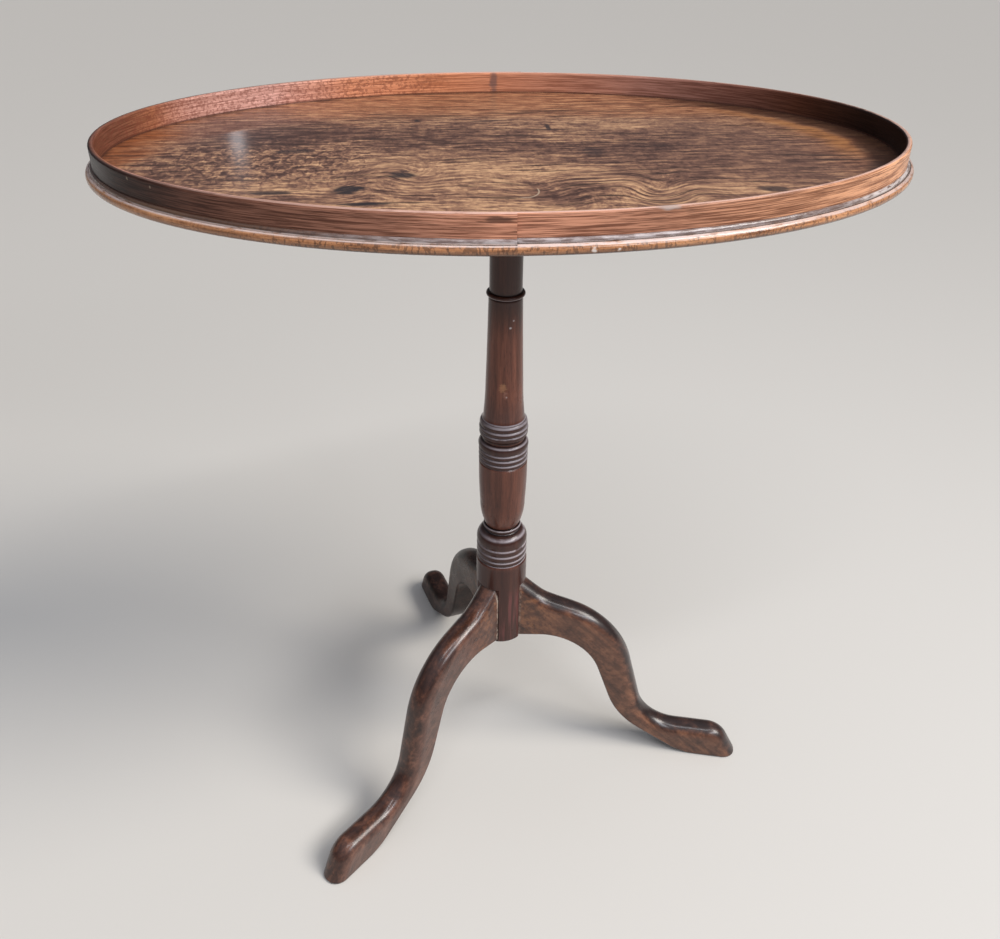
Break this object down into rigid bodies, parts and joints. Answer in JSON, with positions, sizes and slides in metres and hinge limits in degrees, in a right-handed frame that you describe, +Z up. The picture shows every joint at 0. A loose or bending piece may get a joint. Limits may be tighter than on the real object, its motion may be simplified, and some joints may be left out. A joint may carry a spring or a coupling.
{
  "type": "tray top tea table",
  "caption": "Oval tray top tea table: a thin figured board inside a low bentwood gallery with an edge bead, fixed on a slim turned column with splayed cabriole legs.",
  "frame": {"origin": "on the floor, under the column's axis, which is also the middle of the tray", "axes": "+Z up along the column, +X along the tray's long axis to the right, +Y along its short axis to the back"},
  "size_m": [0.679, 0.493, 0.71],
  "materials": {
    "figured_board": "old wax polish",
    "bent_band": "old wax polish",
    "edge_bead": "old wax polish",
    "turned_wood": "old wax polish",
    "leg_wood": "old wax polish",
    "bearer_wood": "planed, unpolished",
    "iron_screw": "dull, worn",
    "iron_pin": "dull, dark"
  },
  "bodies": {
    "root": {"tray_board": "figured_board", "gallery_band_left": "bent_band", "gallery_band_right": "bent_band", "edge_bead_left": "edge_bead", "edge_bead_right": "edge_bead", "gallery_pins": "iron_pin", "bearer": "bearer_wood", "bearer_screws": "iron_screw", "column": "turned_wood", "tenon_wedge": "bearer_wood", "leg_right": "leg_wood", "leg_back": "leg_wood", "leg_front_left": "leg_wood"}
  },
  "joints": []
}
